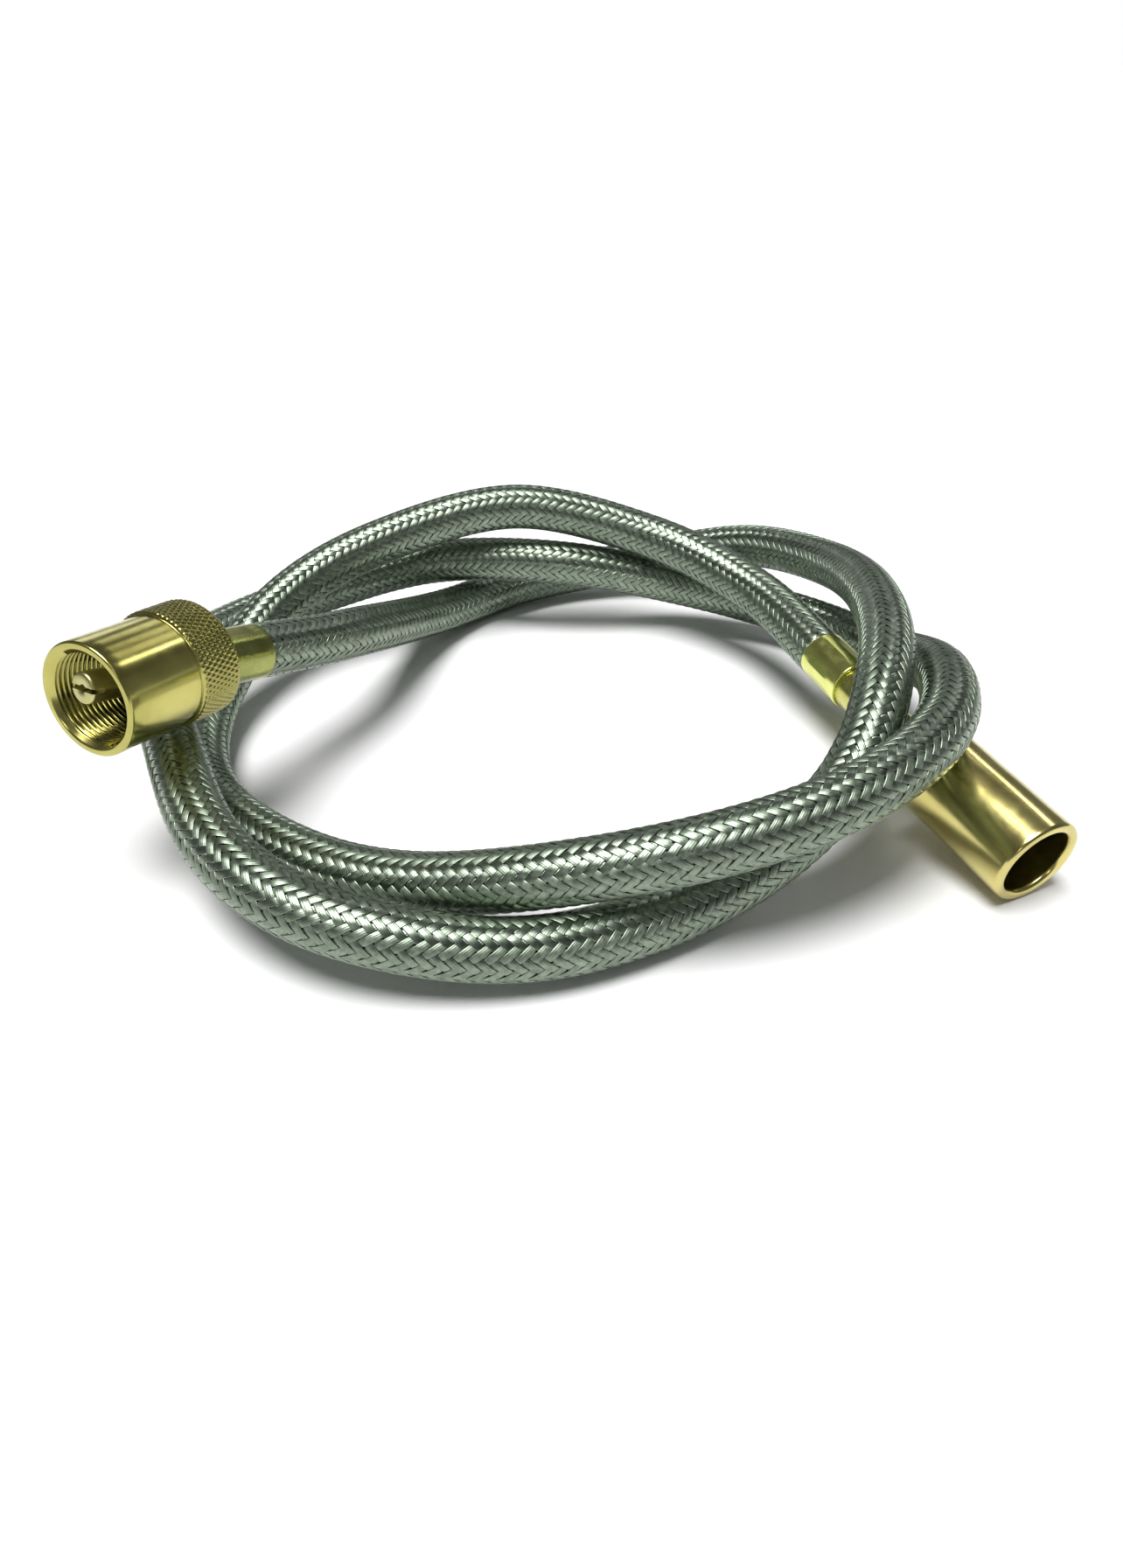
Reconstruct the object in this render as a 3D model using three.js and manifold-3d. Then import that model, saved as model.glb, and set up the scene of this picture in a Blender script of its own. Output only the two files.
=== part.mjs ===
// Braided supply line: a flexible hose with a stainless-steel braid, lying on a flat surface in a
// loose coil of about two and a half turns, with a loose brass nut on each end.
// Millimetres, +Z up. The origin is on the surface, midway between the two end fittings in X and Y.

import * as THREE from 'three';
import { mergeVertices } from 'three/addons/utils/BufferGeometryUtils.js';
import Module from 'manifold-3d';

// ---- Driving dimensions -------------------------------------------------------------------------

const HOSE_OUTER_R = 6.5;
const BRAID_INNER_R = 5.6;
const LINER_OUTER_R = 5.3;
const LINER_BORE_R = 4.0;
const HOSE_STEPS = 80;
const BRAID_SIDES = 10;
const LINER_SIDES = 8;
const INSERT_DEPTH = 13; // how far the hose runs into each ferrule
const GAP = 0.3; // play between two pieces that touch

const SQUEEZED_BRAID_R = 5.8; // the braid under a crimped ferrule
const FERRULE_BORE_R = SQUEEZED_BRAID_R + GAP;
const FERRULE_LIP_R = 5.2;
const FERRULE_LIP = 0.8;

const STEM_BORE_R = 2.3;
const TAIL_R = 3.2;
const BARB_HEIGHT = 0.3;
const BARB_PITCH = 3;
const BARBS = 4;
const TAIL_START = 1;
const STEM_COLLAR_R = 5.8;
const FLANGE_HALF = 1.2; // half of a stem flange's thickness
const SEAL_THICKNESS = 2.5;

// Threaded coupling: nut with a smooth front, a knurled collar behind, and a fine thread inside.
const COUPLING = {
  ferruleLength: 14.9,
  ferruleR: 6.5,
  stemCollar: 0.5, // length of the stem's collar in front of the ferrule
  neckR: 4.5,
  flangeR: 8.9,
  sealR: 8.4,
  sealHoleR: 3.7,
  back: 12.8, // swivel centre to the rear face
  front: 17.2, // swivel centre to the mouth
  collar: 11.1, // length of the knurled collar
  collarR: 12.9,
  nutR: 12.0,
  boreR: 9.5,
  mouthR: 10.5,
  rearHoleR: 7.2,
  shoulder: 3.0, // swivel centre back to the shoulder that the flange pulls against
};

// Hollow slotted pin in the middle of the coupling.
const PIN = {
  r: 3.3,
  spigotR: 2.0,
  spigot: 5,
  tip: 17.0, // swivel centre to the tip
  chamfer: 1.0,
  holeR: 0.8,
  slotWidth: 0.8,
  slotDepth: 2.2,
  slotTurn: THREE.MathUtils.degToRad(60), // lays the slot level
};

// Plain sleeve nut on the other end.
const SLEEVE = {
  ferruleLength: 16,
  ferruleR: 6.5,
  stemCollar: 14,
  neckR: 4.6,
  flangeR: 7.3,
  sealR: 7.1,
  sealHoleR: 3.5,
  back: 3.9,
  front: 28.2,
  nutR: 10.5,
  boreR: 8.1,
  rim: 1.0,
  rearHoleR: 5.4,
  shoulder: 2.4,
};
const CRIMP = { flats: 8, apothem: 6.35, from: 3, to: 11.5 };

// Where each loose nut swivels on its stem, and the middle of its mouth.
const COUPLING_SWIVEL = new THREE.Vector3(-88.7, -15.2, 43.0);
const COUPLING_MOUTH = new THREE.Vector3(-96.3, -30.5, 45.2);
const SLEEVE_SWIVEL = new THREE.Vector3(84.2, -12.9, 14.4);
const SLEEVE_MOUTH = new THREE.Vector3(96.3, -38.0, 10.3);

// The hose's centreline from the rear of one ferrule to the rear of the other.
const HOSE_ROUTE = [
  [-74.2, 9.6, 35.6], [-66, 24, 30.6], [-57, 41, 25.2], [-41, 88, 9], [-15, 115, 7], [22, 124, 11],
  [55, 112, 21], [75, 83, 27], [77, 40, 35], [70, 1, 35], [56, -27, 22], [29, -44.5, 8.6],
  [-8, -61, 8], [-45, -61, 14], [-72, -43, 18], [-92, -6, 21], [-107, 32, 17], [-102, 65, 13],
  [-78, 91, 14], [-43, 101, 20], [-3, 98, 21], [38, 98, 13], [69, 83, 10], [86, 54, 14],
  [86, 9, 30], [75.3, -22.8, 32.6], [49, -44, 29], [11, -53.3, 22.9], [-32, -46.5, 12.2],
  [-63, -31, 9], [-87, -3, 7], [-94, 30, 10], [-83, 65, 22], [-57, 86, 32], [-17, 100, 38],
  [24, 96, 30], [52, 73, 23], [66, 40, 19],
].map((point) => new THREE.Vector3(...point));

// ---- Materials ----------------------------------------------------------------------------------

const metal = (color, roughness) => new THREE.MeshStandardMaterial({ color, roughness, metalness: 1 });
const soft = (color) => new THREE.MeshStandardMaterial({ color, roughness: 0.8, metalness: 0 });
const BRASS = 0xc9a545;
const STEEL = 0x9aa096;
const RUBBER = 0x1c1c1c;

// ---- Helpers ------------------------------------------------------------------------------------

const wasm = await Module();
wasm.setup();

// Keeps positions only and joins the vertices that coincide.
function welded(geometry) {
  geometry.deleteAttribute('normal');
  geometry.deleteAttribute('uv');
  return mergeVertices(geometry);
}

function toManifold(geometry) {
  const merged = welded(geometry.clone());
  const mesh = new wasm.Mesh({
    numProp: 3,
    vertProperties: new Float32Array(merged.attributes.position.array),
    triVerts: new Uint32Array(merged.index.array),
  });
  return new wasm.Manifold(mesh);
}

function fromManifold(manifold) {
  const mesh = manifold.getMesh();
  const geometry = new THREE.BufferGeometry();
  geometry.setAttribute('position', new THREE.BufferAttribute(mesh.vertProperties, 3));
  geometry.setIndex(new THREE.BufferAttribute(mesh.triVerts, 1));
  return geometry;
}

function cut(geometry, tools) {
  const solid = tools.reduce((body, tool) => body.subtract(toManifold(tool)), toManifold(geometry));
  return fromManifold(solid);
}

// A turned piece about +Z. The profile is a closed outline of [radius, z], up the outside first.
function turned(profile, segments = 32) {
  const outline = [...profile, profile[0]].map(([r, z]) => new THREE.Vector2(r, z));
  return welded(new THREE.LatheGeometry(outline, segments).rotateX(Math.PI / 2));
}

function named(name, geometry, material) {
  const mesh = new THREE.Mesh(geometry, material);
  mesh.name = name;
  return mesh;
}

// A group at one point whose +Z looks at another.
function groupAlong(from, to) {
  const group = new THREE.Group();
  const direction = to.clone().sub(from).normalize();
  group.position.copy(from);
  group.quaternion.setFromUnitVectors(new THREE.Vector3(0, 0, 1), direction);
  group.updateMatrixWorld(true);
  return group;
}

// ---- Hose ---------------------------------------------------------------------------------------

const hoseStart = HOSE_ROUTE[0];
const hoseEnd = HOSE_ROUTE[HOSE_ROUTE.length - 1];
const couplingEnd = groupAlong(hoseStart, COUPLING_SWIVEL);
const sleeveEnd = groupAlong(hoseEnd, SLEEVE_SWIVEL);

const insideFerrule = (end) => end.localToWorld(new THREE.Vector3(0, 0, INSERT_DEPTH));
const hosePath = new THREE.CatmullRomCurve3(
  [insideFerrule(couplingEnd), ...HOSE_ROUTE, insideFerrule(sleeveEnd)],
  false,
  'catmullrom',
  0.5,
);
hosePath.arcLengthDivisions = 40 * HOSE_STEPS;

function ringOfPoints(radius, sides) {
  const angles = Array.from({ length: sides }, (_, i) => (i * 2 * Math.PI) / sides);
  return angles.map((angle) => new THREE.Vector2(radius * Math.cos(angle), radius * Math.sin(angle)));
}

function hoseLayer(outerR, innerR, sides) {
  const section = new THREE.Shape(ringOfPoints(outerR, sides));
  section.holes.push(new THREE.Path(ringOfPoints(innerR, sides)));
  return welded(new THREE.ExtrudeGeometry(section, { steps: HOSE_STEPS, extrudePath: hosePath }));
}

// The ring of braid that a ferrule squeezes away, in place at one end.
function squeeze(end) {
  const overlap = 1;
  const ring = turned([
    [HOSE_OUTER_R + overlap, -GAP],
    [HOSE_OUTER_R + overlap, INSERT_DEPTH + overlap],
    [SQUEEZED_BRAID_R, INSERT_DEPTH + overlap],
    [SQUEEZED_BRAID_R, -GAP],
  ]);
  return ring.applyMatrix4(end.matrixWorld);
}

const hose = new THREE.Group();
const braid = cut(hoseLayer(HOSE_OUTER_R, BRAID_INNER_R, BRAID_SIDES), [squeeze(couplingEnd), squeeze(sleeveEnd)]);
hose.add(named('hose_braid', braid, metal(STEEL, 0.4)));
hose.add(named('hose_liner', hoseLayer(LINER_OUTER_R, LINER_BORE_R, LINER_SIDES), soft(RUBBER)));

// ---- Pieces that both ends have -----------------------------------------------------------------

function ferrule(length, outerR) {
  const edge = 0.3;
  return turned([
    [outerR - edge, 0],
    [outerR, edge],
    [outerR, length - 2 * edge],
    [outerR - 2 * edge, length],
    [FERRULE_LIP_R, length],
    [FERRULE_LIP_R, length - FERRULE_LIP],
    [FERRULE_BORE_R, length - FERRULE_LIP],
    [FERRULE_BORE_R, 0],
  ]);
}

// Barbed tail, ferrule seat, collar, neck and flange, bored through. z starts at the ferrule's rear.
function stem(fitting, swivelZ) {
  const seatZ = INSERT_DEPTH + GAP;
  const collarZ = fitting.ferruleLength + GAP;
  const neckZ = collarZ + fitting.stemCollar;
  const barbs = Array.from({ length: BARBS }, (_, i) => TAIL_START + i * BARB_PITCH).flatMap((z) => [
    [TAIL_R - BARB_HEIGHT, z],
    [TAIL_R, z + 0.7 * BARB_PITCH],
    [TAIL_R, z + 0.8 * BARB_PITCH],
    [TAIL_R - BARB_HEIGHT, z + 0.8 * BARB_PITCH],
  ]);
  return turned([
    ...barbs,
    [TAIL_R - BARB_HEIGHT, seatZ],
    [FERRULE_LIP_R - GAP, seatZ],
    [FERRULE_LIP_R - GAP, collarZ],
    [STEM_COLLAR_R, collarZ],
    [STEM_COLLAR_R, neckZ],
    [fitting.neckR, neckZ],
    [fitting.neckR, swivelZ - FLANGE_HALF],
    [fitting.flangeR, swivelZ - FLANGE_HALF],
    [fitting.flangeR, swivelZ + FLANGE_HALF],
    [STEM_BORE_R, swivelZ + FLANGE_HALF],
    [STEM_BORE_R, TAIL_START],
  ], 24);
}

function seal(fitting, swivelZ) {
  const back = swivelZ + FLANGE_HALF + GAP;
  const front = back + SEAL_THICKNESS;
  return turned([
    [fitting.sealR, back],
    [fitting.sealR, front],
    [fitting.sealHoleR, front],
    [fitting.sealHoleR, back],
  ], 28);
}

// ---- Threaded coupling --------------------------------------------------------------------------

const couplingSwivelZ = COUPLING_SWIVEL.distanceTo(hoseStart);

// Turned about the swivel centre, +Z to the mouth. The thread is left as a bore of its mean diameter.
function couplingNut() {
  const { back, front, collar, collarR, nutR, boreR, mouthR, rearHoleR, shoulder } = COUPLING;
  const round = 0.9;
  const chamfer = mouthR - boreR;
  const mouthEdge = 0.4;
  return turned([
    [collarR - round, -back],
    [collarR - 0.3 * round, 0.3 * round - back],
    [collarR, round - back],
    [collarR, collar - back - 0.5 * round],
    [nutR, collar - back],
    [nutR, front - mouthEdge],
    [nutR - mouthEdge, front],
    [mouthR, front],
    [boreR, front - chamfer],
    [boreR, -shoulder],
    [rearHoleR, -shoulder],
    [rearHoleR, -back],
  ], 40);
}

function pin(swivelZ) {
  const seat = swivelZ + FLANGE_HALF + GAP;
  const tip = swivelZ + PIN.tip;
  const body = turned([
    [PIN.spigotR, seat - PIN.spigot],
    [PIN.spigotR, seat],
    [PIN.r, seat],
    [PIN.r, tip - PIN.chamfer],
    [PIN.r - PIN.chamfer, tip],
    [PIN.holeR, tip],
    [PIN.holeR, seat - PIN.spigot],
  ], 24);
  const slot = new THREE.BoxGeometry(PIN.slotWidth, 4 * PIN.r, 2 * PIN.slotDepth);
  return cut(body, [slot.rotateZ(PIN.slotTurn).translate(0, 0, tip)]);
}

couplingEnd.add(named('coupling_ferrule', ferrule(COUPLING.ferruleLength, COUPLING.ferruleR), metal(BRASS, 0.3)));
couplingEnd.add(named('coupling_stem', stem(COUPLING, couplingSwivelZ), metal(BRASS, 0.35)));
couplingEnd.add(named('coupling_seal', seal(COUPLING, couplingSwivelZ), soft(RUBBER)));
couplingEnd.add(named('coupling_pin', pin(couplingSwivelZ), metal(BRASS, 0.3)));
const couplingTurn = groupAlong(COUPLING_SWIVEL, COUPLING_MOUTH);
couplingTurn.add(named('coupling_nut', couplingNut(), metal(BRASS, 0.3)));

// ---- Sleeve end ---------------------------------------------------------------------------------

const sleeveSwivelZ = SLEEVE_SWIVEL.distanceTo(hoseEnd);

// Eight flat bites that the crimping jaws leave round the ferrule.
function crimpBites() {
  const length = CRIMP.to - CRIMP.from;
  const middle = (CRIMP.to + CRIMP.from) / 2;
  const depth = 2;
  return Array.from({ length: CRIMP.flats }, (_, i) => {
    const bite = new THREE.BoxGeometry(depth, 2 * SLEEVE.ferruleR, length);
    bite.translate(CRIMP.apothem + depth / 2, 0, middle);
    return bite.rotateZ((i * 2 * Math.PI) / CRIMP.flats);
  });
}

function sleeveNut() {
  const { back, front, nutR, boreR, rim, rearHoleR, shoulder } = SLEEVE;
  return turned([
    [nutR - rim, -back],
    [nutR - 0.3 * rim, 0.3 * rim - back],
    [nutR, rim - back],
    [nutR, front - rim],
    [nutR - 0.3 * rim, front - 0.3 * rim],
    [nutR - rim, front],
    [boreR + 0.3, front],
    [boreR, front - 0.6],
    [boreR, -shoulder],
    [rearHoleR, -shoulder],
    [rearHoleR, -back],
  ], 40);
}

const crimped = cut(ferrule(SLEEVE.ferruleLength, SLEEVE.ferruleR), crimpBites());
sleeveEnd.add(named('sleeve_ferrule', crimped, metal(BRASS, 0.25)));
sleeveEnd.add(named('sleeve_stem', stem(SLEEVE, sleeveSwivelZ), metal(BRASS, 0.35)));
sleeveEnd.add(named('sleeve_seal', seal(SLEEVE, sleeveSwivelZ), soft(RUBBER)));
const sleeveTurn = groupAlong(SLEEVE_SWIVEL, SLEEVE_MOUTH);
sleeveTurn.add(named('sleeve_nut', sleeveNut(), metal(BRASS, 0.3)));

const supplyLine = new THREE.Group();
supplyLine.add(hose, couplingEnd, couplingTurn, sleeveEnd, sleeveTurn);
export default supplyLine;
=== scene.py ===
"""Looks of the braided supply line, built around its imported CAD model. Lengths in the drawing
constants are millimetres; everything given to Blender is metres, in the CAD model's frame."""

import math

import bpy
import numpy as np
from mathutils import Matrix, Vector


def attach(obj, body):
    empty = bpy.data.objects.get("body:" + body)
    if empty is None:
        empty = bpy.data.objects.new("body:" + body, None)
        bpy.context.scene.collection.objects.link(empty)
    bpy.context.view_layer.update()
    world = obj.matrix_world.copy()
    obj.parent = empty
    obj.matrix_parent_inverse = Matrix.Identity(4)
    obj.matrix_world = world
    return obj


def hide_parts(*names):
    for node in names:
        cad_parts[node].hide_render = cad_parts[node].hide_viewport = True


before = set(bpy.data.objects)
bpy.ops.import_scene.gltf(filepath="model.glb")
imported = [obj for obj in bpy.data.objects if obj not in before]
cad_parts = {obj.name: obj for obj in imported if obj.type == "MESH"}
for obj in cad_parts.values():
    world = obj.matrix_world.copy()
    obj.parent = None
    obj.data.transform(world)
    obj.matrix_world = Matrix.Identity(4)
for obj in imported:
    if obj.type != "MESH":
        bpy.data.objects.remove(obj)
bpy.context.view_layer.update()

MM = 0.001
RANDOM_SEED = 7

# ---- Camera -------------------------------------------------------------------------------------

IMAGE_WIDTH = 1284
FOCAL_IN_PIXELS = 1221.5
SENSOR_WIDTH = 36
CLIP_START = 0.01  # metres
CAMERA_PLACE = (-3.1, -213.2, 148.9)
CAMERA_PITCH = math.radians(34.05)  # below the horizon


def make_camera():
    camera = bpy.data.objects.new("camera", bpy.data.cameras.new("camera"))
    camera.data.sensor_fit = "HORIZONTAL"
    camera.data.sensor_width = SENSOR_WIDTH
    camera.data.lens = SENSOR_WIDTH * FOCAL_IN_PIXELS / IMAGE_WIDTH
    camera.data.clip_start = CLIP_START
    camera.location = Vector(CAMERA_PLACE) * MM
    camera.rotation_euler = (math.pi / 2 - CAMERA_PITCH, 0, 0)
    bpy.context.scene.collection.objects.link(camera)
    bpy.context.scene.camera = camera


make_camera()

# ---- Hose route ---------------------------------------------------------------------------------

INSERT_DEPTH = 13  # of the hose's ends in the ferrules
SAMPLES_PER_SPAN = 200  # of the spline, between two points of the route
COUPLING_SWIVEL = Vector((-88.7, -15.2, 43.0))
COUPLING_MOUTH = Vector((-96.3, -30.5, 45.2))
SLEEVE_SWIVEL = Vector((84.2, -12.9, 14.4))
SLEEVE_MOUTH = Vector((96.3, -38.0, 10.3))
HOSE_ROUTE = [
    (-74.2, 9.6, 35.6), (-66, 24, 30.6), (-57, 41, 25.2), (-41, 88, 9), (-15, 115, 7),
    (22, 124, 11), (55, 112, 21), (75, 83, 27), (77, 40, 35), (70, 1, 35), (56, -27, 22),
    (29, -44.5, 8.6), (-8, -61, 8), (-45, -61, 14), (-72, -43, 18), (-92, -6, 21), (-107, 32, 17),
    (-102, 65, 13), (-78, 91, 14), (-43, 101, 20), (-3, 98, 21), (38, 98, 13), (69, 83, 10),
    (86, 54, 14), (86, 9, 30), (75.3, -22.8, 32.6), (49, -44, 29), (11, -53.3, 22.9),
    (-32, -46.5, 12.2), (-63, -31, 9), (-87, -3, 7), (-94, 30, 10), (-83, 65, 22), (-57, 86, 32),
    (-17, 100, 38), (24, 96, 30), (52, 73, 23), (66, 40, 19),
]
hose_start = Vector(HOSE_ROUTE[0])
hose_end = Vector(HOSE_ROUTE[-1])
coupling_axis = (COUPLING_SWIVEL - hose_start).normalized()
sleeve_axis = (SLEEVE_SWIVEL - hose_end).normalized()


def catmull_rom(points, per_segment):
    """A uniform Catmull-Rom spline through the points, sampled evenly in its parameter."""
    points = np.array(points, float)
    p = np.vstack([2 * points[0] - points[1], points, 2 * points[-1] - points[-2]])
    t = np.linspace(0, 1, per_segment, endpoint=False)[:, None]
    samples = []
    for a, b, c, d in zip(p, p[1:], p[2:], p[3:]):
        samples.append(b + 0.5 * t * (c - a) + t**2 * (a - 2.5 * b + 2 * c - 0.5 * d)
                       + t**3 * (1.5 * (b - c) + 0.5 * (d - a)))
    return np.vstack([*samples, p[-2:-1]])


def normalized(vectors):
    return vectors / np.linalg.norm(vectors, axis=-1, keepdims=True)


class Centreline:
    """The hose's centreline by arc length, with a frame that doesn't twist along it."""

    STEP = 0.25

    def __init__(self):
        inside_coupling = hose_start + coupling_axis * INSERT_DEPTH
        inside_sleeve = hose_end + sleeve_axis * INSERT_DEPTH
        curve = catmull_rom([inside_coupling, *HOSE_ROUTE, inside_sleeve], SAMPLES_PER_SPAN)
        along = np.r_[0, np.cumsum(np.linalg.norm(np.diff(curve, axis=0), axis=1))]
        self.length = along[-1]
        self.s = np.linspace(0, self.length, int(self.length / self.STEP))
        self.point = self.sample(curve, along)
        self.tangent = normalized(np.gradient(self.point, axis=0))
        self.normal = self.carried_normals()
        self.binormal = np.cross(self.tangent, self.normal)

    def sample(self, curve, along):
        return np.stack([np.interp(self.s, along, curve[:, i]) for i in range(3)], 1)

    def carried_normals(self):
        normals = np.empty_like(self.point)
        normal = np.array([0.0, 0.0, 1.0])
        for i, tangent in enumerate(self.tangent):
            normal = normal - tangent * (normal @ tangent)
            normal /= math.sqrt(normal @ normal)
            normals[i] = normal
        return normals

    def at(self, field, s):
        """Values of a field, such as the normals, at distances along the hose."""
        step = self.s[1]
        position = np.clip(s / step, 0, len(self.s) - 1.001)  # always short of the last sample
        index = position.astype(int)
        share = (position - index)[..., None]
        return field[index] * (1 - share) + field[index + 1] * share

    def place(self, s, angle, radius):
        """Points at a distance along the hose, an angle round it and a radius from its middle."""
        s = np.asarray(s, float)
        out = (np.cos(angle)[..., None] * self.at(self.normal, s)
               + np.sin(angle)[..., None] * self.at(self.binormal, s))
        return self.at(self.point, s) + np.asarray(radius)[..., None] * out


centreline = Centreline()

# ---- Mesh helpers -------------------------------------------------------------------------------


def mesh_object(name, points_mm, quads, smooth_angle=None, caps=None):
    """A smooth-shaded piece. Edges over smooth_angle, in degrees, stay sharp, and caps are faces
    with more than four corners, the same number on each."""
    mesh = bpy.data.meshes.new(name)
    points = np.asarray(points_mm, np.float32).reshape(-1, 3) * MM
    quads = np.asarray(quads, np.int32).reshape(-1, 4)
    corners, starts = quads.ravel(), np.arange(0, quads.size, 4, dtype=np.int32)
    if caps is not None:
        caps = np.asarray(caps, np.int32)
        starts = np.r_[starts, quads.size + caps.shape[1] * np.arange(len(caps), dtype=np.int32)]
        corners = np.r_[corners, caps.ravel()]
    mesh.vertices.add(len(points))
    mesh.vertices.foreach_set("co", points.ravel())
    mesh.loops.add(len(corners))
    mesh.loops.foreach_set("vertex_index", corners)
    mesh.polygons.add(len(starts))
    mesh.polygons.foreach_set("loop_start", starts.astype(np.int32))
    mesh.update(calc_edges=True)
    mesh.shade_smooth()
    if smooth_angle is not None:
        mesh.set_sharp_from_angle(angle=math.radians(smooth_angle))
    piece = bpy.data.objects.new(name, mesh)
    bpy.context.scene.collection.objects.link(piece)
    return piece


def tube_quads(rings, sides, closed_along=False):
    """Quads of a grid of vertices, rings by sides, that closes round its sides."""
    ring = np.arange(rings if closed_along else rings - 1)[:, None]
    side = np.arange(sides)[None, :]
    next_ring = (ring + 1) % rings
    next_side = (side + 1) % sides
    corners = [ring * sides + side, ring * sides + next_side,
               next_ring * sides + next_side, next_ring * sides + side]
    return np.stack(corners, -1).reshape(-1, 4)


def rounded(outline, radius, points_per_corner=4):
    """A closed outline of [r, z] with each corner eased by up to the radius."""
    outline = np.array(outline, float)
    result = []
    for i, corner in enumerate(outline):
        before, after = outline[i - 1], outline[(i + 1) % len(outline)]
        reach = [min(radius, 0.45 * np.linalg.norm(side - corner)) for side in (before, after)]
        start = corner + normalized(before - corner) * reach[0]
        end = corner + normalized(after - corner) * reach[1]
        for t in np.linspace(0, 1, points_per_corner):
            result.append((1 - t) ** 2 * start + 2 * t * (1 - t) * corner + t**2 * end)
    return np.array(result)


def set_tone(piece, values):
    """Darker or lighter places of a piece, which its material multiplies its colour by."""
    tone = piece.data.attributes.new("tone", "FLOAT", "POINT")
    tone.data.foreach_set("value", np.asarray(values, np.float32).ravel())


def turned(name, outline, segments=128, shape=None, smooth_angle=40):
    """A piece turned about +Z from a closed outline of [r, z], up the outside first. shape may
    change the radius, given radius, z and angle."""
    r, z = np.array(outline, float).T
    angle = np.arange(segments) * 2 * math.pi / segments
    z, angle = z[:, None] + 0 * angle, angle + 0 * z[:, None]
    radius = r[:, None] + 0 * angle
    if shape is not None:
        radius = shape(radius, z, angle)
    points = np.stack([radius * np.cos(angle), radius * np.sin(angle), z], -1)
    return mesh_object(name, points, tube_quads(len(r), segments, closed_along=True), smooth_angle)


def stand_on(piece, foot_mm, axis):
    """Puts the piece's origin at a point, with its +Z along an axis."""
    rotation = Vector((0, 0, 1)).rotation_difference(axis).to_matrix().to_4x4()
    piece.matrix_world = Matrix.Translation(foot_mm * MM) @ rotation


def finish_piece(piece, body, material, node):
    """Gives the piece its material and its body, and hides the CAD node that it replaces."""
    piece.data.materials.append(material)
    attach(piece, body)
    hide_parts(node)


# ---- Materials ----------------------------------------------------------------------------------


class Shader:
    """A material with one Principled shader and short calls for the nodes that feed it."""

    def __init__(self, name, color, metallic, roughness):
        self.material = bpy.data.materials.new(name)
        self.material.use_nodes = True
        self.nodes = self.material.node_tree.nodes
        self.links = self.material.node_tree.links
        self.principled = self.nodes["Principled BSDF"]
        self.principled.inputs["Base Color"].default_value = (*color, 1)
        self.principled.inputs["Metallic"].default_value = metallic
        self.principled.inputs["Roughness"].default_value = roughness
        self.place = self.nodes.new("ShaderNodeTexCoord").outputs["Object"]

    def link(self, source, target):
        self.links.new(source, target)

    def noise(self, scale, detail, stretch=(1, 1, 1)):
        mapping = self.nodes.new("ShaderNodeMapping")
        mapping.inputs["Scale"].default_value = stretch
        self.link(self.place, mapping.inputs["Vector"])
        noise = self.nodes.new("ShaderNodeTexNoise")
        noise.inputs["Scale"].default_value = scale
        noise.inputs["Detail"].default_value = detail
        self.link(mapping.outputs["Vector"], noise.inputs["Vector"])
        return noise.outputs["Fac"]

    def ramp(self, value, stops):
        ramp = self.nodes.new("ShaderNodeValToRGB")
        for element, (position, color) in zip(ramp.color_ramp.elements, (stops[0], stops[-1])):
            element.position = position
            element.color = (*color, 1)
        for position, color in stops[1:-1]:
            ramp.color_ramp.elements.new(position).color = (*color, 1)
        self.link(value, ramp.inputs["Fac"])
        return ramp.outputs["Color"]

    def remap(self, value, low, high, to_low, to_high):
        remap = self.nodes.new("ShaderNodeMapRange")
        remap.inputs["From Min"].default_value = low
        remap.inputs["From Max"].default_value = high
        remap.inputs["To Min"].default_value = to_low
        remap.inputs["To Max"].default_value = to_high
        self.link(value, remap.inputs["Value"])
        return remap.outputs["Result"]

    def attribute(self, name, output):
        attribute = self.nodes.new("ShaderNodeAttribute")
        attribute.attribute_name = name
        return attribute.outputs[output]

    def multiply(self, color, other):
        mix = self.nodes.new("ShaderNodeMix")
        mix.data_type = "RGBA"
        mix.blend_type = "MULTIPLY"
        mix.inputs["Factor"].default_value = 1.0
        self.link(color, mix.inputs["A"])
        self.link(other, mix.inputs["B"])
        return mix.outputs["Result"]

    def bump(self, height, distance, strength):
        """Bump from a height pattern, distance metres deep."""
        bump = self.nodes.new("ShaderNodeBump")
        bump.inputs["Distance"].default_value = distance
        bump.inputs["Strength"].default_value = strength
        self.link(height, bump.inputs["Height"])
        self.link(bump.outputs["Normal"], self.principled.inputs["Normal"])


def brass(name, dark, light, rough, streak=1.0, toned=False):
    """Turned brass: fine rings round the axis, uneven tarnish and worn, glossier patches."""
    shader = Shader(name, light, metallic=1.0, roughness=rough)
    inputs = shader.principled.inputs
    tarnish = shader.noise(scale=90, detail=3)
    color = shader.ramp(tarnish, [(0.32, dark), (0.62, light)])
    if toned:
        color = shader.multiply(color, shader.attribute("tone", "Color"))
    shader.link(color, inputs["Base Color"])
    wear = shader.noise(scale=420, detail=3)
    shader.link(shader.remap(wear, 0.3, 0.7, rough - 0.02, rough + 0.04), inputs["Roughness"])
    rings = shader.noise(scale=900, detail=2, stretch=(0.02, 0.02, 6))
    shader.bump(rings, distance=0.00002, strength=0.06 * streak)
    return shader.material


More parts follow.
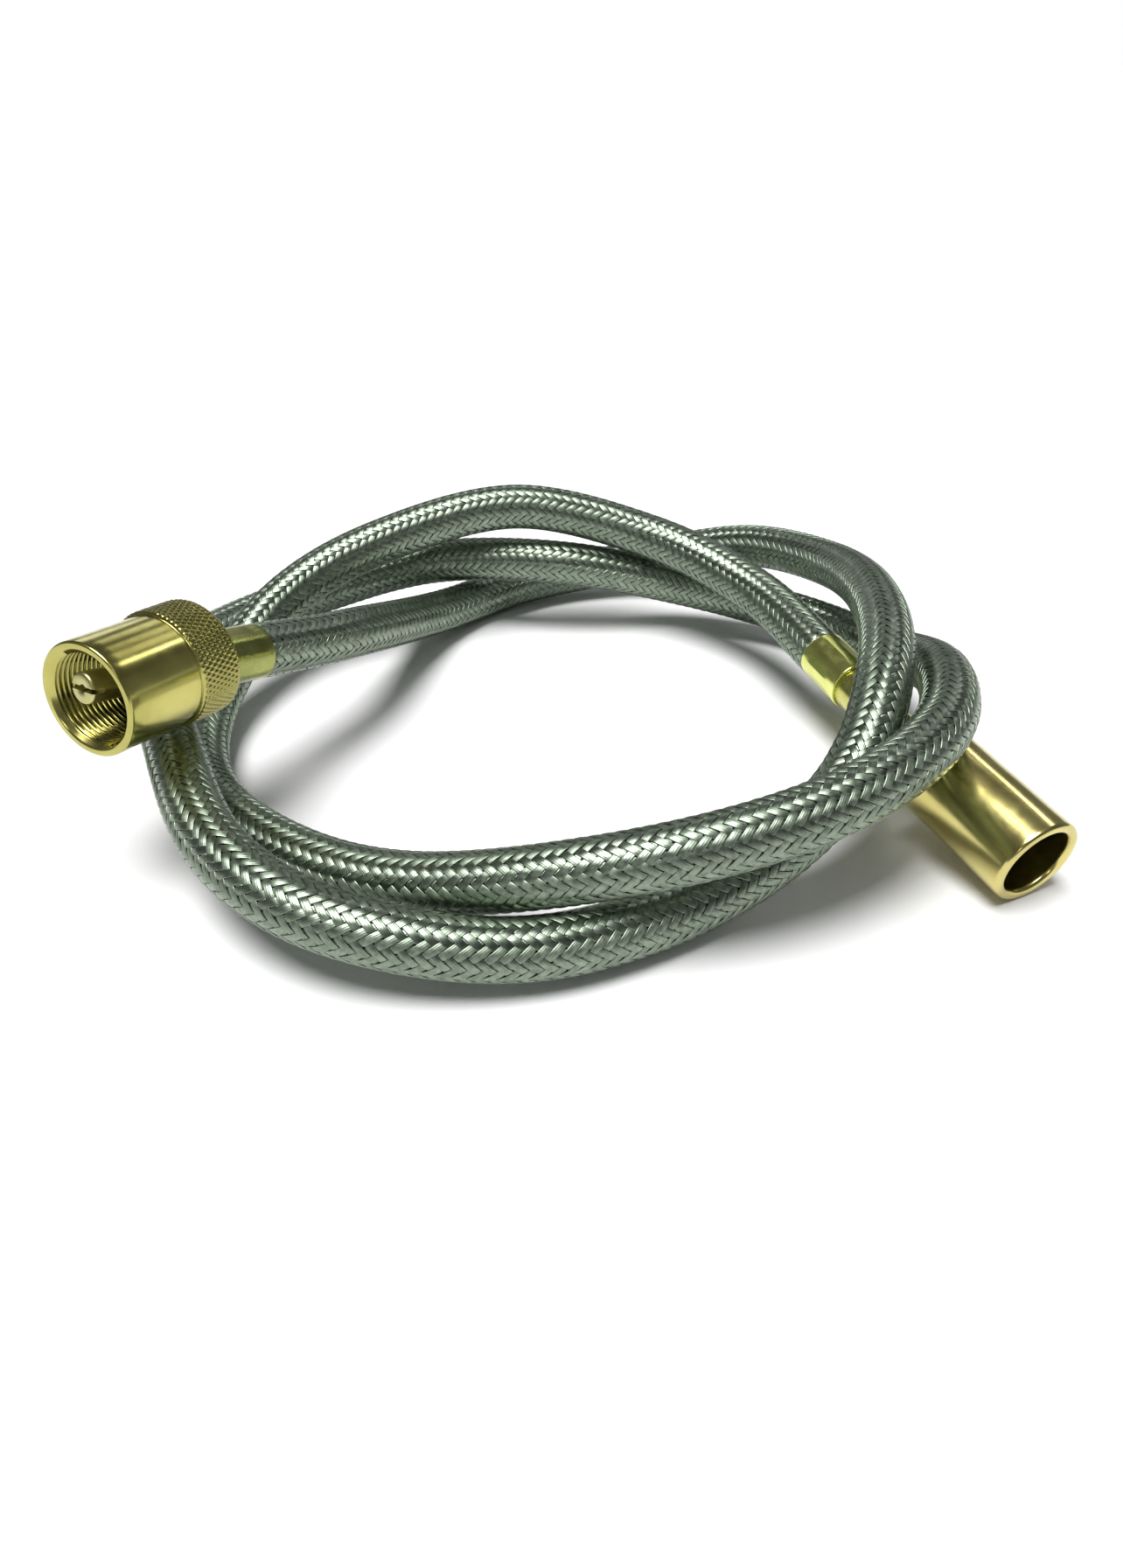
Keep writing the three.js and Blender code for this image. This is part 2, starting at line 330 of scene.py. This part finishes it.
def steel_wire(name, dark, light):
    """Drawn steel wire, which shines across its run: the wire attribute of the piece is the way
    that the wires lie."""
    shader = Shader(name, (0.28, 0.34, 0.27), metallic=1.0, roughness=0.38)
    inputs = shader.principled.inputs
    tint = shader.noise(scale=900, detail=3)
    base = shader.ramp(tint, [(0.3, dark), (0.7, light)])
    shader.link(shader.multiply(base, shader.attribute("tone", "Color")), inputs["Base Color"])
    shader.link(shader.remap(tint, 0.3, 0.7, 0.33, 0.41), inputs["Roughness"])
    shader.link(shader.attribute("wire", "Vector"), inputs["Tangent"])
    inputs["Anisotropic"].default_value = 0.7
    inputs["Anisotropic Rotation"].default_value = 0.25
    return shader.material


def rubber(name, dark, light):
    """Matt rubber with a fine grain."""
    shader = Shader(name, (0.02, 0.02, 0.02), metallic=0.0, roughness=0.7)
    grain = shader.noise(scale=2500, detail=4)
    color = shader.ramp(grain, [(0.3, dark), (0.7, light)])
    shader.link(color, shader.principled.inputs["Base Color"])
    shader.bump(grain, distance=0.00005, strength=0.4)
    return shader.material


nut_brass = brass("nut_brass", (0.42, 0.385, 0.11), (0.54, 0.50, 0.16), rough=0.19, toned=True)
sleeve_brass = brass("sleeve_brass", (0.56, 0.48, 0.17), (0.68, 0.60, 0.23), rough=0.20)
ferrule_brass = brass(
    "ferrule_brass", (0.70, 0.72, 0.20), (0.84, 0.86, 0.30), rough=0.22, streak=0.5)
# A darker copy of the ferrule brass, as painted shade: the coupling's ferrule is shaded by the
# nut's collar and the hose.
shaded_ferrule_brass = brass(
    "shaded_ferrule_brass", (0.22, 0.24, 0.075), (0.34, 0.36, 0.11), rough=0.26, streak=0.5)
stem_brass = brass("stem_brass", (0.42, 0.40, 0.10), (0.62, 0.60, 0.18), rough=0.26)
pin_brass = brass("pin_brass", (0.40, 0.37, 0.15), (0.58, 0.54, 0.25), rough=0.30)
wire_steel = steel_wire("braid_wire", (0.175, 0.22, 0.165), (0.33, 0.39, 0.305))
liner_rubber = rubber("liner_rubber", (0.008, 0.009, 0.008), (0.03, 0.032, 0.028))
seal_rubber = rubber("seal_rubber", (0.008, 0.009, 0.008), (0.03, 0.032, 0.028))

# ---- Hose: rubber liner and woven braid ---------------------------------------------------------

BUNDLES = 16  # in each direction
BRAID_PITCH = 43.7  # along the hose for one turn of a bundle
WIRES = 4  # in each bundle
BUNDLE_WIDTH = 1.62
BUNDLE_THICKNESS = 0.2
BUNDLE_CROWN = 0.10  # how much the middle of a bundle stands above its edges
BUNDLE_BASE = 0.9  # its flat underside, as a share of its width
BUNDLE_TONES = (0.84, 1.02)
WIRE_GROOVE = 0.05
BRAID_MEAN_R = 6.25
BRAID_WAVE = 0.16  # how far a bundle rises over and dips under the others
WAVE_SHARPNESS = 1.2  # 0 for a sine wave; a higher one stays longer over and under
WANDER = 0.018  # how far a bundle strays round the hose, radians
WANDER_LENGTHS = (35, 60)  # along the hose for one radian of the wander's wave
SQUEEZE = 0.5  # how much the ferrules press the braid in
SQUEEZE_SLOPE = 1.2
SAMPLES_PER_CROSSING = 2
LINER_OUTER_R = 5.75
LINER_BORE_R = 4.0
LINER_SIDES = 32
LINER_STEP = 2.5

rng = np.random.default_rng(RANDOM_SEED)


def make_liner():
    """The rubber hose under the braid, with its bore."""
    rings = int(centreline.length / LINER_STEP)
    s = np.linspace(0, centreline.length, rings)
    s = np.r_[s, s[::-1]][:, None]
    radius = np.r_[np.full(rings, LINER_OUTER_R), np.full(rings, LINER_BORE_R)][:, None]
    angle = np.arange(LINER_SIDES)[None, :] * 2 * math.pi / LINER_SIDES
    s, radius, angle = np.broadcast_arrays(s, radius, angle)
    quads = tube_quads(2 * rings, LINER_SIDES, closed_along=True)
    return mesh_object("hose_rubber", centreline.place(s, angle, radius), quads)


def bundle_section():
    """Across one bundle of wires: offsets from its middle and heights, round the outline."""
    place = np.arange(3 * WIRES) / (3 * WIRES)
    groove = np.tile([1.0, 0.0, 0.0], WIRES)
    across = np.r_[place - 0.5, 0.5] * BUNDLE_WIDTH
    groove = np.r_[groove, 1.0]
    top = BUNDLE_CROWN * (1 - (2 * across / BUNDLE_WIDTH) ** 2) - WIRE_GROOVE * groove
    corner = BUNDLE_BASE / 2 * BUNDLE_WIDTH
    across = np.r_[across, corner, -corner]
    return across, np.r_[top, -BUNDLE_THICKNESS, -BUNDLE_THICKNESS]


def squeezed(s):
    """1 inside the ferrules and 0 along the free hose, with a short slope between."""
    from_end = np.minimum(s, centreline.length - s)
    return np.clip((INSERT_DEPTH - from_end) / SQUEEZE_SLOPE + 0.5, 0, 1)


def bundle(index, hand):
    """Grid of points of one bundle. hand is 1 or -1, the way it winds."""
    crossings = centreline.length / (BRAID_PITCH / (2 * BUNDLES))
    q = np.linspace(0, crossings, int(crossings * SAMPLES_PER_CROSSING) + 1)
    s = q * BRAID_PITCH / (2 * BUNDLES)
    state = 2 * index + hand * q
    sine = np.cos(2 * math.pi * (state - 0.5) / 4)
    wave = np.tanh(WAVE_SHARPNESS * sine) / math.tanh(WAVE_SHARPNESS)
    wander = WANDER * np.sin(s / rng.uniform(*WANDER_LENGTHS) + rng.uniform(0, 6.28))
    angle = hand * (math.pi * q / BUNDLES) + 2 * math.pi * index / BUNDLES + wander
    middle = BRAID_MEAN_R + hand * BRAID_WAVE * wave
    tilt = math.atan2(2 * math.pi * BRAID_MEAN_R, BRAID_PITCH)
    across, height = bundle_section()
    side_s = s[:, None] - hand * across[None, :] * math.sin(tilt)
    side_angle = angle[:, None] + across[None, :] * math.cos(tilt) / BRAID_MEAN_R
    side_s = np.clip(side_s, 0, centreline.length)
    radius = middle[:, None] + height[None, :] - SQUEEZE * squeezed(side_s)
    return centreline.place(side_s, side_angle, radius)


def make_braid_pair(number):
    """One bundle of each direction, as one piece."""
    points, quads, caps, tones, directions, count = [], [], [], [], [], 0
    for hand in (1, -1):
        grid = bundle(number, hand)
        rings, sides = grid.shape[:2]
        points.append(grid.reshape(-1, 3))
        quads.append(tube_quads(rings, sides) + count)
        caps.append(np.arange(sides)[::-1] + count)
        caps.append(np.arange(sides) + (rings - 1) * sides + count)
        count += rings * sides
        tones.append(np.full(rings * sides, rng.uniform(*BUNDLE_TONES)))
        directions.append(np.gradient(grid, axis=0).reshape(-1, 3))
    name = f"braid_{number + 1:02d}"
    piece = mesh_object(name, np.vstack(points), np.vstack(quads), caps=np.stack(caps))
    set_tone(piece, np.concatenate(tones))
    wire = piece.data.attributes.new("wire", "FLOAT_VECTOR", "POINT")
    wire.data.foreach_set("vector", np.vstack(directions).astype(np.float32).ravel())
    return piece


liner = make_liner()
finish_piece(liner, "line", liner_rubber, "hose_liner")
braid = [make_braid_pair(i) for i in range(BUNDLES)]
for piece in braid:
    finish_piece(piece, "line", wire_steel, "hose_braid")

# ---- End fittings -------------------------------------------------------------------------------

# Heights of the ferrules and stems are from the foot of the ferrule, those of the nuts are from
# the swivel, and a reach is the height of the swivel over the foot of the ferrule.
COUPLING_REACH = (COUPLING_SWIVEL - hose_start).length
SLEEVE_REACH = (SLEEVE_SWIVEL - hose_end).length

FERRULE_R = 6.45
FERRULE_BORE_R = 6.0
FERRULE_LIP = 0.8  # its thickness
FERRULE_LIP_R = 5.2
FERRULE_SEGMENTS = 192
COUPLING_FERRULE_LENGTH = 14.9
SLEEVE_FERRULE_LENGTH = 16
CRIMP_FLATS = 8
CRIMP_APOTHEM = 6.3
CRIMP_FROM = 3
CRIMP_TO = 11.5
CRIMP_SLOPE = 0.8

STEM_BORE_R = 2.3
STEM_FOOT = 1
STEM_FOOT_R = 2.8
STEM_WAIST_R = 2.9
BARBS = 4
BARB_PITCH = 3
BARB_R = 3.5
BARB_ROOT_R = 3.2
BARBS_END = 13.3
STEM_BODY_R = 4.9
STEM_COLLAR_R = 5.8
COLLAR_GAP = 0.02  # between the ferrule and the stem's collar
CAD_GAP = 0.3  # between the same two in the CAD model, which the collar's height counts from
FLANGE_HALF = 1.2
SEAL_SEAT = 1.5  # above the swivel
SEAL_THICKNESS = 2.5

PIN_TIP = 17.0  # above the swivel
PIN_R = 3.3
PIN_ROOT_R = 2.0
PIN_ROOT = 5
PIN_BORE_R = 0.8
PIN_BORE_DEPTH = 5
PIN_VENT_R = 0.4
PIN_SLOT_WIDTH = 1.0
PIN_SLOT_DEPTH = 2.6
PIN_SLOT_TURN = math.radians(60)

NUT_SEGMENTS = 416
BARREL_R = 12.0
COLLAR_R = 12.9
KNURL_STARTS = 62
KNURL_HELIX = math.radians(30)
KNURL_DEPTH = 0.32
KNURL_FROM = -12.1
KNURL_TO = -2.4
KNURL_SLOPE = 0.3
KNURL_STEEPNESS = 1.2  # over 1, the diamonds have flat tops
# The knurl's and the thread's groove tones below are painted shade in their grooves.
KNURL_TONE = 0.9
KNURL_GROOVE_SHADE = 0.3  # how much darker the grooves are
THREAD_PITCH = 1.22
THREAD_MINOR_R = 9.45
THREAD_MAJOR_R = 10.15
THREAD_FROM = -1.5
THREAD_TO = 15.7
THREAD_SLOPE = 0.9
THREAD_STEEPNESS = 1.3  # over 1, the crests are flat
THREAD_ROOT = 0.1  # over 0, the grooves have flat bottoms
THREAD_TONE = 0.95
THREAD_GROOVE_SHADE = 0.6  # how much darker the grooves are
THREAD_TONE_SLOPE = 0.5

SLEEVE_R = 10.5
SLEEVE_BORE_R = 8.1
SLEEVE_SEGMENTS = 192


def band(low, high, value, slope):
    """1 where value is between low and high, falling to 0 over slope outside."""
    return np.clip(np.minimum(value - low, high - value) / slope + 1, 0, 1)


def crimped(radius, z, angle):
    """The ring of soft flats that the crimping dies leave round a ferrule."""
    flat = 2 * math.pi / CRIMP_FLATS
    from_flat = (angle + flat / 2) % flat - flat / 2
    pressed = np.minimum(radius, CRIMP_APOTHEM / np.cos(from_flat))
    outside = radius > CRIMP_APOTHEM
    share = np.where(outside, band(CRIMP_FROM, CRIMP_TO, z, CRIMP_SLOPE), 0)
    return radius * (1 - share) + pressed * share


def knurl_crest(z, angle):
    """1 on the tops of the collar's diamonds, falling to 0 in the grooves between them."""
    around = angle / (2 * math.pi) * KNURL_STARTS
    along = z * math.tan(KNURL_HELIX) * KNURL_STARTS / (2 * math.pi * COLLAR_R)
    rising = np.abs((around + along) % 1 - 0.5) * 2
    falling = np.abs((around - along) % 1 - 0.5) * 2
    return np.minimum(np.minimum(rising, falling) * KNURL_STEEPNESS, 1)


def thread_ridge(z, angle):
    """1 on the crests of the coupling nut's thread and 0 in its grooves."""
    ridge = np.abs((z / THREAD_PITCH - angle / (2 * math.pi)) % 1 - 0.5) * 2
    return np.clip(ridge * THREAD_STEEPNESS - THREAD_ROOT, 0, 1)


def on_collar(radius):
    return radius > BARREL_R + 0.05


def in_bore(radius):
    return np.abs(radius - THREAD_MINOR_R) < 0.02


def knurled_and_threaded(radius, z, angle):
    """Diamond knurl round the collar and a screw thread in the bore of the coupling nut."""
    knurl = KNURL_DEPTH * (knurl_crest(z, angle) - 1)
    knurl = knurl * band(KNURL_FROM, KNURL_TO, z, KNURL_SLOPE)
    thread = (THREAD_MAJOR_R - THREAD_MINOR_R) * (1 - thread_ridge(z, angle))
    thread = thread * band(THREAD_FROM, THREAD_TO, z, THREAD_SLOPE)
    return radius + np.where(on_collar(radius), knurl, 0) + np.where(in_bore(radius), thread, 0)


def nut_painted_shade(outline):
    """Painted shade in the coupling nut's knurl and thread grooves, on a slightly darker collar
    and bore.
    """
    radius, z = np.array(outline).T[:, :, None]
    angle = np.arange(NUT_SEGMENTS)[None, :] * 2 * math.pi / NUT_SEGMENTS
    knurl = (1 - knurl_crest(z, angle)) * band(KNURL_FROM, KNURL_TO, z, KNURL_SLOPE)
    thread = (1 - thread_ridge(z, angle)) * band(THREAD_FROM, THREAD_TO, z, THREAD_TONE_SLOPE)
    tone = np.where(on_collar(radius), KNURL_TONE - KNURL_GROOVE_SHADE * knurl, 1.0)
    return np.where(in_bore(radius), THREAD_TONE - THREAD_GROOVE_SHADE * thread, tone)


def ferrule_outline(length):
    """A thin cup over the end of the hose, with an inward lip."""
    lip = length - FERRULE_LIP
    return rounded([(FERRULE_R, 0), (FERRULE_R, length), (FERRULE_LIP_R, length),
                    (FERRULE_LIP_R, lip), (FERRULE_BORE_R, lip), (FERRULE_BORE_R, 0)], radius=0.4)


def stem_outline(neck_r, flange_r, ferrule_length, collar_length, reach):
    """Barbs inside the hose, a collar past the ferrule, a neck and the swivel's flange."""
    outline = [(STEM_BORE_R, STEM_FOOT), (STEM_FOOT_R, STEM_FOOT)]
    for barb in range(BARBS):
        start = STEM_FOOT + BARB_PITCH * barb
        outline += [(BARB_ROOT_R, start + 0.2), (BARB_R, start + 2.6), (BARB_ROOT_R, start + 2.8)]
    collar = ferrule_length + COLLAR_GAP
    neck = ferrule_length + CAD_GAP + collar_length
    flange_low, flange_high = reach - FLANGE_HALF, reach + FLANGE_HALF
    outline += [(STEM_WAIST_R, BARBS_END), (STEM_BODY_R, BARBS_END),
                (STEM_BODY_R, collar), (STEM_COLLAR_R, collar), (STEM_COLLAR_R, neck),
                (neck_r, neck), (neck_r, flange_low), (flange_r, flange_low),
                (flange_r, flange_high), (STEM_BORE_R, flange_high)]
    return rounded(outline, radius=0.25, points_per_corner=3)


def seal_outline(outer_r, hole_r, reach):
    low, high = reach + SEAL_SEAT, reach + SEAL_SEAT + SEAL_THICKNESS
    outline = [(outer_r, low), (outer_r, high), (hole_r, high), (hole_r, low)]
    return rounded(outline, radius=0.4)


def steps(start, end, step):
    """Points of a straight run of the outline, close enough together to carry a pattern."""
    start, end = np.array(start, float), np.array(end, float)
    count = math.ceil(np.linalg.norm(end - start) / step) + 1
    return [tuple(start + (end - start) * t) for t in np.linspace(0, 1, count)]


def coupling_nut_outline():
    """Up the outside of the collar and barrel, round the lip and down the threaded bore."""
    back = [(11.6, -12.8), (12.1, -12.73), (12.5, -12.5), (12.78, -12.2)]
    collar = steps((COLLAR_R, -11.9), (COLLAR_R, -2.5), 0.16)
    shoulder = [(12.82, -2.2), (12.5, -1.98), (12.08, -1.9), (BARREL_R, -1.75)]
    barrel = steps((BARREL_R, -1.5), (BARREL_R, 16.6), 3.0)
    lip = [(11.94, 16.9), (11.78, 17.12), (11.5, 17.2), (10.75, 17.2), (10.5, 17.12), (10.3, 16.9)]
    bore = steps((THREAD_MINOR_R, 16.2), (THREAD_MINOR_R, -2.0), THREAD_PITCH / 8)
    inside = [(THREAD_MINOR_R, -3.0), (7.2, -3.0), (7.2, -12.8)]
    return back + collar + shoulder + barrel + lip + bore + inside


def sleeve_nut_outline():
    """Up the outside of the plain sleeve, round its rolled lip and down the bore."""
    back = [(9.3, -3.9), (9.9, -3.8), (10.3, -3.45), (SLEEVE_R, -2.9)]
    barrel = steps((SLEEVE_R, -2.2), (SLEEVE_R, 26.6), 1.2)
    lip = [(SLEEVE_R, 27.1), (10.43, 27.6), (10.2, 27.95), (9.85, 28.13), (9.4, 28.2),
           (8.95, 28.18), (8.55, 28.0), (8.25, 27.7), (SLEEVE_BORE_R, 27.2)]
    bore = steps((SLEEVE_BORE_R, 26.6), (SLEEVE_BORE_R, -2.1), 3.0)
    return back + barrel + lip + bore + [(8.0, -2.4), (5.4, -2.4), (5.4, -3.9)]


def uneven(radius, z, angle):
    """The slight unevenness of a drawn and polished tube."""
    wave = (0.018 * np.sin(2 * angle + 0.23 * z) + 0.012 * np.sin(3 * angle - 0.31 * z + 1.3)
            + 0.008 * np.sin(5 * angle + 0.5 * z))
    return radius + np.where(radius > SLEEVE_R - 0.01, wave - 0.03, 0)


def make_pin():
    """The hollow pin in the middle of the coupling, with a slot across its tip."""
    seat, tip = COUPLING_REACH + SEAL_SEAT, COUPLING_REACH + PIN_TIP
    foot, floor = seat - PIN_ROOT, tip - PIN_BORE_DEPTH
    outline = [(PIN_ROOT_R, foot), (PIN_ROOT_R, seat), (PIN_R, seat), (PIN_R, tip - 0.55),
               (3.22, tip - 0.3), (3.05, tip - 0.12), (2.8, tip), (1.1, tip), (0.85, tip - 0.12),
               (PIN_BORE_R, tip - 0.4), (PIN_BORE_R, floor), (PIN_VENT_R, floor - 0.2),
               (PIN_VENT_R, foot)]
    pin = turned("coupling_pin_turned", outline, segments=96)
    side, reach = PIN_SLOT_WIDTH / 2, 5
    box = box_mesh((-side, -reach, tip - PIN_SLOT_DEPTH), (side, reach, tip + 1))
    slot = mesh_object("slot_cutter", *box)
    slot.rotation_euler.z = PIN_SLOT_TURN
    cut = pin.modifiers.new("slot", "BOOLEAN")
    cut.operation = "DIFFERENCE"
    cut.object = slot
    bpy.context.view_layer.update()
    evaluated = pin.evaluated_get(bpy.context.evaluated_depsgraph_get())
    pin_mesh = bpy.data.meshes.new_from_object(evaluated)
    pin_mesh.set_sharp_from_angle(angle=math.radians(30))
    pin.modifiers.clear()
    pin.data = pin_mesh
    bpy.data.objects.remove(slot)
    return pin


def box_mesh(low, high):
    x, y, z = zip(low, high)
    points = [(x[i & 1], y[i >> 1 & 1], z[i >> 2]) for i in range(8)]
    quads = [(0, 2, 3, 1), (4, 5, 7, 6), (0, 1, 5, 4), (2, 6, 7, 3), (0, 4, 6, 2), (1, 3, 7, 5)]
    return points, quads


def crimped_ferrule(name, length):
    outline = ferrule_outline(length)
    split = []  # the outline in short steps, so that the crimp can bend it
    for here, there in zip(outline, np.roll(outline, -1, axis=0)):
        split += steps(here, there, 1.0)[:-1]
    return turned(name, split, FERRULE_SEGMENTS, crimped)


def at_coupling(piece, material, node):
    stand_on(piece, hose_start, coupling_axis)
    finish_piece(piece, "line", material, node)


def at_sleeve(piece, material, node):
    stand_on(piece, hose_end, sleeve_axis)
    finish_piece(piece, "line", material, node)


at_coupling(crimped_ferrule("coupling_ferrule_crimped", COUPLING_FERRULE_LENGTH),
            # The coupling's ferrule gets the darker brass, which is painted shade.
            shaded_ferrule_brass, "coupling_ferrule")
coupling_stem = stem_outline(neck_r=4.5, flange_r=8.9, ferrule_length=COUPLING_FERRULE_LENGTH,
                             collar_length=0.5, reach=COUPLING_REACH)
at_coupling(turned("coupling_stem_turned", coupling_stem), stem_brass, "coupling_stem")
coupling_seal = seal_outline(outer_r=8.4, hole_r=3.7, reach=COUPLING_REACH)
at_coupling(turned("coupling_seal_ring", coupling_seal),
            seal_rubber, "coupling_seal")
at_coupling(make_pin(), pin_brass, "coupling_pin")

at_sleeve(crimped_ferrule("sleeve_ferrule_crimped", SLEEVE_FERRULE_LENGTH),
          ferrule_brass, "sleeve_ferrule")
sleeve_stem = stem_outline(neck_r=4.6, flange_r=7.3, ferrule_length=SLEEVE_FERRULE_LENGTH,
                           collar_length=14, reach=SLEEVE_REACH)
at_sleeve(turned("sleeve_stem_turned", sleeve_stem), stem_brass, "sleeve_stem")
sleeve_seal = seal_outline(outer_r=7.1, hole_r=3.5, reach=SLEEVE_REACH)
at_sleeve(turned("sleeve_seal_ring", sleeve_seal), seal_rubber, "sleeve_seal")

nut_outline = coupling_nut_outline()
coupling_nut = turned("coupling_nut_knurled", nut_outline, NUT_SEGMENTS, knurled_and_threaded,
                      smooth_angle=60)
# Painted shade in the grooves of the knurl and the thread, through the tone attribute.
set_tone(coupling_nut, nut_painted_shade(nut_outline))
stand_on(coupling_nut, COUPLING_SWIVEL, (COUPLING_MOUTH - COUPLING_SWIVEL).normalized())
finish_piece(coupling_nut, "coupling", nut_brass, "coupling_nut")

sleeve_nut = turned("sleeve_nut_drawn", sleeve_nut_outline(), SLEEVE_SEGMENTS, uneven,
                    smooth_angle=50)
stand_on(sleeve_nut, SLEEVE_SWIVEL, (SLEEVE_MOUTH - SLEEVE_SWIVEL).normalized())
finish_piece(sleeve_nut, "sleeve", sleeve_brass, "sleeve_nut")

# ---- Stage --------------------------------------------------------------------------------------

FLOOR_REACH = 40000
FLOOR_Z = -0.1  # just clear of the line
SKY_HORIZON = (0.20, 0.205, 0.21, 1)
SKY_ZENITH = (0.22, 0.225, 0.23, 1)
SKY_LEVELS = ((0.35, 0.16), (0.5, 0.10), (0.8, 0.09), (0.93, 0.18))  # height and brightness
PANELS_AIM = (0, 20, 20)
BACK_PANELS = ((64, 43), (83, 38), (101, 28), (118, 18))  # azimuth and elevation in degrees
BACK_PANEL_DISTANCE = 1500


def make_floor():
    square = ((-1, -1), (1, -1), (1, 1), (-1, 1))
    corners = [(FLOOR_REACH * x, FLOOR_REACH * y, FLOOR_Z) for x, y in square]
    floor = mesh_object("floor", corners, [(0, 1, 2, 3)])
    shader = Shader("floor", (0.86, 0.86, 0.86), metallic=0.0, roughness=0.9)
    floor.data.materials.append(shader.material)


def make_world():
    """A grey sky, dimmest between the horizon and straight overhead. The camera itself sees a
    white background."""
    world = bpy.data.worlds.new("world")
    bpy.context.scene.world = world
    world.use_nodes = True
    nodes, links = world.node_tree.nodes, world.node_tree.links
    direction = nodes.new("ShaderNodeTexCoord").outputs["Generated"]
    height = nodes.new("ShaderNodeSeparateXYZ")
    links.new(direction, height.inputs[0])
    ramp = nodes.new("ShaderNodeValToRGB")
    links.new(height.outputs["Z"], ramp.inputs["Fac"])
    stops = ramp.color_ramp.elements
    stops[0].position, stops[0].color = 0.0, SKY_HORIZON
    stops[1].position, stops[1].color = 1.0, SKY_ZENITH
    for position, level in SKY_LEVELS:
        stops.new(position).color = (level, level * 1.02, level * 1.04, 1)
    sky = nodes["Background"]
    links.new(ramp.outputs["Color"], sky.inputs["Color"])
    backdrop = nodes.new("ShaderNodeBackground")
    backdrop.inputs["Color"].default_value = (1, 1, 1, 1)
    seen = nodes.new("ShaderNodeLightPath")
    mix = nodes.new("ShaderNodeMixShader")
    links.new(seen.outputs["Is Camera Ray"], mix.inputs[0])
    links.new(sky.outputs[0], mix.inputs[1])
    links.new(backdrop.outputs[0], mix.inputs[2])
    links.new(mix.outputs[0], nodes["World Output"].inputs["Surface"])


def make_sun(direction, strength, spread):
    """A sun that shines along a direction, spread over an angle in degrees."""
    sun = bpy.data.objects.new("sun", bpy.data.lights.new("sun", "SUN"))
    sun.data.energy = strength
    sun.data.angle = math.radians(spread)
    sun.rotation_euler = Vector((0, 0, -1)).rotation_difference(Vector(direction)).to_euler()
    bpy.context.scene.collection.objects.link(sun)


def make_panel(name, place_mm, size_mm, power):
    """A rectangular lamp of some watts, turned towards the line."""
    panel = bpy.data.objects.new(name, bpy.data.lights.new(name, "AREA"))
    panel.data.shape = "RECTANGLE"
    panel.data.size, panel.data.size_y = size_mm[0] * MM, size_mm[1] * MM
    panel.data.energy = power
    panel.location = Vector(place_mm) * MM
    toward = Vector(PANELS_AIM) - Vector(place_mm)
    panel.rotation_euler = Vector((0, 0, -1)).rotation_difference(toward).to_euler()
    bpy.context.scene.collection.objects.link(panel)


def make_back_panel(number, azimuth, elevation):
    turn, rise = math.radians(azimuth), math.radians(elevation)
    place = (BACK_PANEL_DISTANCE * math.cos(turn) * math.cos(rise),
             BACK_PANEL_DISTANCE * math.sin(turn) * math.cos(rise),
             BACK_PANEL_DISTANCE * math.sin(rise))
    make_panel(f"back_panel_{number}", place, size_mm=(260, 420), power=0.42)


make_floor()
make_sun(direction=(0.19, 0.14, -1.0), strength=3.8, spread=32)
make_panel("overhead_strip", (-20, -330, 900), size_mm=(900, 60), power=0.5)
make_panel("front_lamp", (-330, -760, 520), size_mm=(140, 140), power=0.35)
make_panel("side_lamp", (780, 780, 950), size_mm=(70, 420), power=0.9)
for number, (azimuth, elevation) in enumerate(BACK_PANELS, 1):
    make_back_panel(number, azimuth, elevation)
make_world()
bpy.context.scene.view_settings.view_transform = "Standard"
